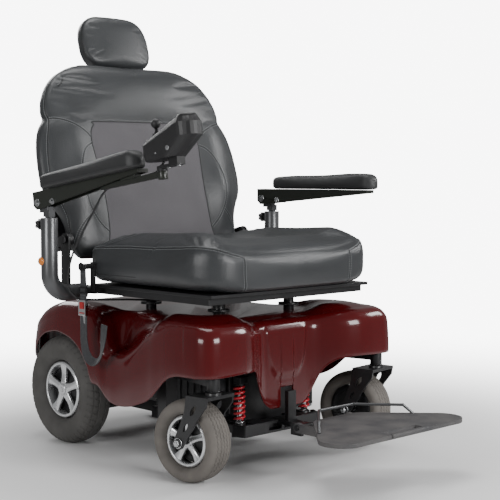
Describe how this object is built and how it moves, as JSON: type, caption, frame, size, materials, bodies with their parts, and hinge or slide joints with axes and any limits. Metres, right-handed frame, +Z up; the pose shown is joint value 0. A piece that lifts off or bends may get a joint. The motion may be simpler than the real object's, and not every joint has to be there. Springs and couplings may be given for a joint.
{
  "type": "power wheelchair",
  "caption": "Heavy-duty rear-wheel-drive power wheelchair with a padded seat, reclining back, flip-up armrests, joystick and flip-up footplate.",
  "frame": {"origin": "on the floor, at the middle of the chair's outline", "axes": "+X to the rider's left, -Y forwards, +Z up"},
  "size_m": [1.02, 1.328, 1.3572],
  "materials": {
    "frame": "satin powder coat",
    "fork": "satin",
    "shroud": "glossy, moulded",
    "case_plastic": "fine grain",
    "motor": "painted casting",
    "bright_steel": "satin",
    "spring_steel": "gloss",
    "tyre": "moulded tread",
    "rim": "silver",
    "lever": "moulded",
    "plate": "grained",
    "tube": "satin",
    "upholstery": "fine grain, stitched",
    "pad": "moulded skin",
    "key": "moulded",
    "cable": "smooth",
    "webbing": "woven",
    "buckle": "polished"
  },
  "bodies": {
    "base": {"chassis_frame": "frame", "battery_box": "case_plastic", "batteries": "case_plastic", "motor_controller": "motor", "gear_motors": "motor", "suspension_pins": "bright_steel", "front_cover": "shroud", "right_front_fender": "shroud", "left_front_fender": "shroud", "rear_cover": "shroud", "right_spring": "spring_steel", "left_spring": "spring_steel", "anti_tip_arms": "frame", "foot_hanger": "frame", "seat_posts": "tube", "seat_frame": "frame", "seat_cushion": "upholstery", "back_hinges": "frame", "right_arm_tube": "tube", "left_arm_tube": "tube", "controller_cable": "cable", "seat_belt": "webbing", "belt_buckle": "buckle"},
    "back": {"back_frame": "case_plastic", "back_cushion": "upholstery"},
    "headrest_unit": {"headrest_posts": "bright_steel", "headrest": "upholstery"},
    "footrest": {"footplate": "plate", "heel_loop": "tube"},
    "joystick": {"joystick_bracket": "case_plastic", "joystick_case": "case_plastic"},
    "joystick_ring": {"joystick_gimbal": "bright_steel"},
    "joystick_lever": {"joystick_stick": "case_plastic"},
    "power_key": {"power_key": "key"},
    "horn_key": {"horn_key": "key"},
    "right_drive_wheel": {"right_drive_tyre": "tyre", "right_drive_rim": "rim"},
    "right_caster_arm": {"right_caster_arm": "frame"},
    "right_caster_fork": {"right_caster_fork": "fork"},
    "right_caster_wheel": {"right_caster_tyre": "tyre", "right_caster_rim": "rim"},
    "right_anti_tip_wheel": {"right_anti_tip_wheel": "tyre"},
    "right_arm_post": {"right_arm_post": "bright_steel"},
    "right_armrest": {"right_arm_bracket": "tube", "right_arm_pad": "pad", "joystick_cable": "cable"},
    "right_arm_knob": {"right_arm_knob": "case_plastic"},
    "right_freewheel_lever": {"right_freewheel_lever": "lever"},
    "left_drive_wheel": {"left_drive_tyre": "tyre", "left_drive_rim": "rim"},
    "left_caster_arm": {"left_caster_arm": "frame"},
    "left_caster_fork": {"left_caster_fork": "fork"},
    "left_caster_wheel": {"left_caster_tyre": "tyre", "left_caster_rim": "rim"},
    "left_anti_tip_wheel": {"left_anti_tip_wheel": "tyre"},
    "left_arm_post": {"left_arm_post": "bright_steel"},
    "left_armrest": {"left_arm_bracket": "tube", "left_arm_pad": "pad"},
    "left_arm_knob": {"left_arm_knob": "case_plastic"},
    "left_freewheel_lever": {"left_freewheel_lever": "lever"}
  },
  "joints": [
    {"name": "right_drive_roll", "type": "hinge", "parent": "base", "child": "right_drive_wheel", "pos_m": [-0.29, 0.457, 0.168], "axis": [1, 0, 0], "continuous": true},
    {"name": "right_suspension", "type": "hinge", "parent": "base", "child": "right_caster_arm", "pos_m": [-0.2, 0, 0.108], "axis": [-1, 0, 0], "range_deg": [-1.5, 5], "stiffness_Nm_per_rad": 2500, "springref_deg": -1.55, "deforming": ["right_spring"]},
    {"name": "right_caster_swivel", "type": "hinge", "parent": "right_caster_arm", "child": "right_caster_fork", "pos_m": [-0.337, -0.257, 0.29], "axis": [0, 0, 1], "continuous": true},
    {"name": "right_caster_roll", "type": "hinge", "parent": "right_caster_fork", "child": "right_caster_wheel", "pos_m": [-0.34626, -0.18157, 0.1145], "axis": [0.9925, 0.1219, 0], "continuous": true},
    {"name": "right_anti_tip_roll", "type": "hinge", "parent": "base", "child": "right_anti_tip_wheel", "pos_m": [-0.152, 0.618, 0.052], "axis": [1, 0, 0], "continuous": true},
    {"name": "right_arm_height", "type": "slide", "parent": "base", "child": "right_arm_post", "axis": [0, 0, 1], "range_m": [0, 0.06]},
    {"name": "right_arm_flip", "type": "hinge", "parent": "right_arm_post", "child": "right_armrest", "pos_m": [-0.461, 0.349, 0.753], "axis": [-1, 0, 0], "range_deg": [0, 90]},
    {"name": "right_knob_turn", "type": "hinge", "parent": "base", "child": "right_arm_knob", "pos_m": [-0.461, 0.35, 0.689], "axis": [0, 1, 0], "continuous": true},
    {"name": "right_freewheel", "type": "hinge", "parent": "base", "child": "right_freewheel_lever", "pos_m": [-0.198, 0.44, 0.238], "axis": [0, 0, 1], "range_deg": [0, 60]},
    {"name": "left_drive_roll", "type": "hinge", "parent": "base", "child": "left_drive_wheel", "pos_m": [0.29, 0.457, 0.168], "axis": [1, 0, 0], "continuous": true},
    {"name": "left_suspension", "type": "hinge", "parent": "base", "child": "left_caster_arm", "pos_m": [0.2, 0, 0.108], "axis": [-1, 0, 0], "range_deg": [-1.5, 5], "stiffness_Nm_per_rad": 2500, "springref_deg": -1.55, "deforming": ["left_spring"]},
    {"name": "left_caster_swivel", "type": "hinge", "parent": "left_caster_arm", "child": "left_caster_fork", "pos_m": [0.337, -0.257, 0.29], "axis": [0, 0, 1], "continuous": true},
    {"name": "left_caster_roll", "type": "hinge", "parent": "left_caster_fork", "child": "left_caster_wheel", "pos_m": [0.32774, -0.18157, 0.1145], "axis": [0.9925, 0.1219, 0], "continuous": true},
    {"name": "left_anti_tip_roll", "type": "hinge", "parent": "base", "child": "left_anti_tip_wheel", "pos_m": [0.152, 0.618, 0.052], "axis": [1, 0, 0], "continuous": true},
    {"name": "left_arm_height", "type": "slide", "parent": "base", "child": "left_arm_post", "axis": [0, 0, 1], "range_m": [0, 0.06]},
    {"name": "left_arm_flip", "type": "hinge", "parent": "left_arm_post", "child": "left_armrest", "pos_m": [0.461, 0.349, 0.753], "axis": [-1, 0, 0], "range_deg": [0, 95]},
    {"name": "left_knob_turn", "type": "hinge", "parent": "base", "child": "left_arm_knob", "pos_m": [0.461, 0.35, 0.689], "axis": [0, 1, 0], "continuous": true},
    {"name": "left_freewheel", "type": "hinge", "parent": "base", "child": "left_freewheel_lever", "pos_m": [0.198, 0.44, 0.238], "axis": [0, 0, -1], "range_deg": [0, 60]},
    {"name": "footplate_flip", "type": "hinge", "parent": "base", "child": "footrest", "pos_m": [0, -0.352, 0.138], "axis": [-1, 0, 0], "range_deg": [0, 88]},
    {"name": "recline", "type": "hinge", "parent": "base", "child": "back", "pos_m": [0, 0.365, 0.64], "axis": [1, 0, 0], "range_deg": [-20, 60]},
    {"name": "headrest_height", "type": "slide", "parent": "back", "child": "headrest_unit", "axis": [0, 0.2756, 0.9613], "range_m": [0, 0.06]},
    {"name": "joystick_swing", "type": "hinge", "parent": "right_armrest", "child": "joystick", "pos_m": [-0.461, -0.1978, 0.843], "axis": [0, 0.1392, 0.9903], "range_deg": [-90, 0]},
    {"name": "stick_fore_aft", "type": "hinge", "parent": "joystick", "child": "joystick_ring", "pos_m": [-0.461, -0.17887, 0.91302], "axis": [1, 0, 0], "range_deg": [-16, 16], "stiffness_Nm_per_rad": 0.4},
    {"name": "stick_sideways", "type": "hinge", "parent": "joystick_ring", "child": "joystick_lever", "pos_m": [-0.461, -0.17887, 0.91302], "axis": [0, 0.9903, -0.1392], "range_deg": [-16, 16], "stiffness_Nm_per_rad": 0.4},
    {"name": "power_key_press", "type": "slide", "parent": "joystick", "child": "power_key", "axis": [0, -0.6691, -0.7431], "range_m": [0, 0.0015], "stiffness_N_per_m": 400},
    {"name": "horn_key_press", "type": "slide", "parent": "joystick", "child": "horn_key", "axis": [0, -0.6691, -0.7431], "range_m": [0, 0.0015], "stiffness_N_per_m": 400}
  ]
}
